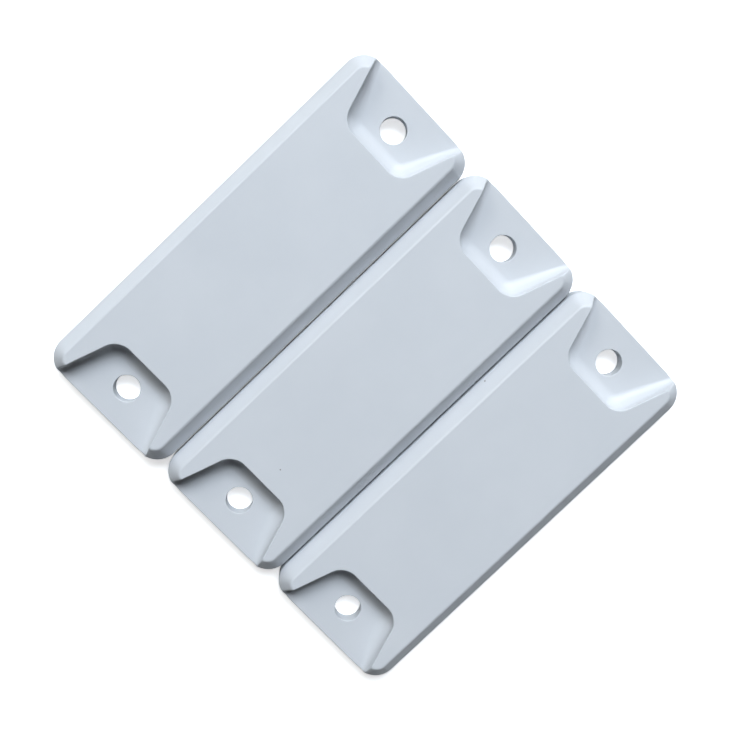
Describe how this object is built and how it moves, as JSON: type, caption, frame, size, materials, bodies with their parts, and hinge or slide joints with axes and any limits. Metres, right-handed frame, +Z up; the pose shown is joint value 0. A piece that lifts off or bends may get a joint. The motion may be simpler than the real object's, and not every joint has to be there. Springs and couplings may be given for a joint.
{
  "type": "on-metal RFID asset tag set",
  "caption": "Flat moulded RFID asset tags for metal surfaces, side by side, each with bevelled edges and a scooped screw recess and hole at both ends.",
  "frame": {"origin": "under the middle of the row of tags, on the surface that they lie on", "axes": "+X along the tags' long sides, +Y across the row towards tag 1, +Z up out of the tags' faces"},
  "size_m": [0.085, 0.0922, 0.0073],
  "materials": {
    "housing_plastic": "satin moulded ABS, pale bluish white",
    "cover_plastic": "fine matt moulded ABS, pale grey white",
    "adhesive_film": "translucent acrylic film",
    "copper": "rolled copper foil, lightly tarnished",
    "glass_epoxy": "woven glass-epoxy laminate, bare",
    "chip_package": "black moulded epoxy",
    "solder": "bright solder",
    "foam": "closed-cell foam"
  },
  "bodies": {
    "tag_1": {"tag_1_top_shell": "housing_plastic", "tag_1_base_cover": "cover_plastic", "tag_1_bonding_tape": "adhesive_film", "tag_1_ground_plane": "copper", "tag_1_antenna_board": "glass_epoxy", "tag_1_radiating_patch": "copper", "tag_1_shorting_posts": "copper", "tag_1_rfid_chip": "chip_package", "tag_1_solder_joints": "solder", "tag_1_foam_pad": "foam"},
    "tag_2": {"tag_2_top_shell": "housing_plastic", "tag_2_base_cover": "cover_plastic", "tag_2_bonding_tape": "adhesive_film", "tag_2_ground_plane": "copper", "tag_2_antenna_board": "glass_epoxy", "tag_2_radiating_patch": "copper", "tag_2_shorting_posts": "copper", "tag_2_rfid_chip": "chip_package", "tag_2_solder_joints": "solder", "tag_2_foam_pad": "foam"},
    "tag_3": {"tag_3_top_shell": "housing_plastic", "tag_3_base_cover": "cover_plastic", "tag_3_bonding_tape": "adhesive_film", "tag_3_ground_plane": "copper", "tag_3_antenna_board": "glass_epoxy", "tag_3_radiating_patch": "copper", "tag_3_shorting_posts": "copper", "tag_3_rfid_chip": "chip_package", "tag_3_solder_joints": "solder", "tag_3_foam_pad": "foam"}
  },
  "joints": [
    {"name": "tag_1_slide_clear", "type": "slide", "parent": "tag_2", "child": "tag_1", "axis": [0, 1, 0], "range_m": [0, 0.032]},
    {"name": "tag_3_slide_clear", "type": "slide", "parent": "tag_2", "child": "tag_3", "axis": [0, -1, 0], "range_m": [0, 0.032]}
  ]
}
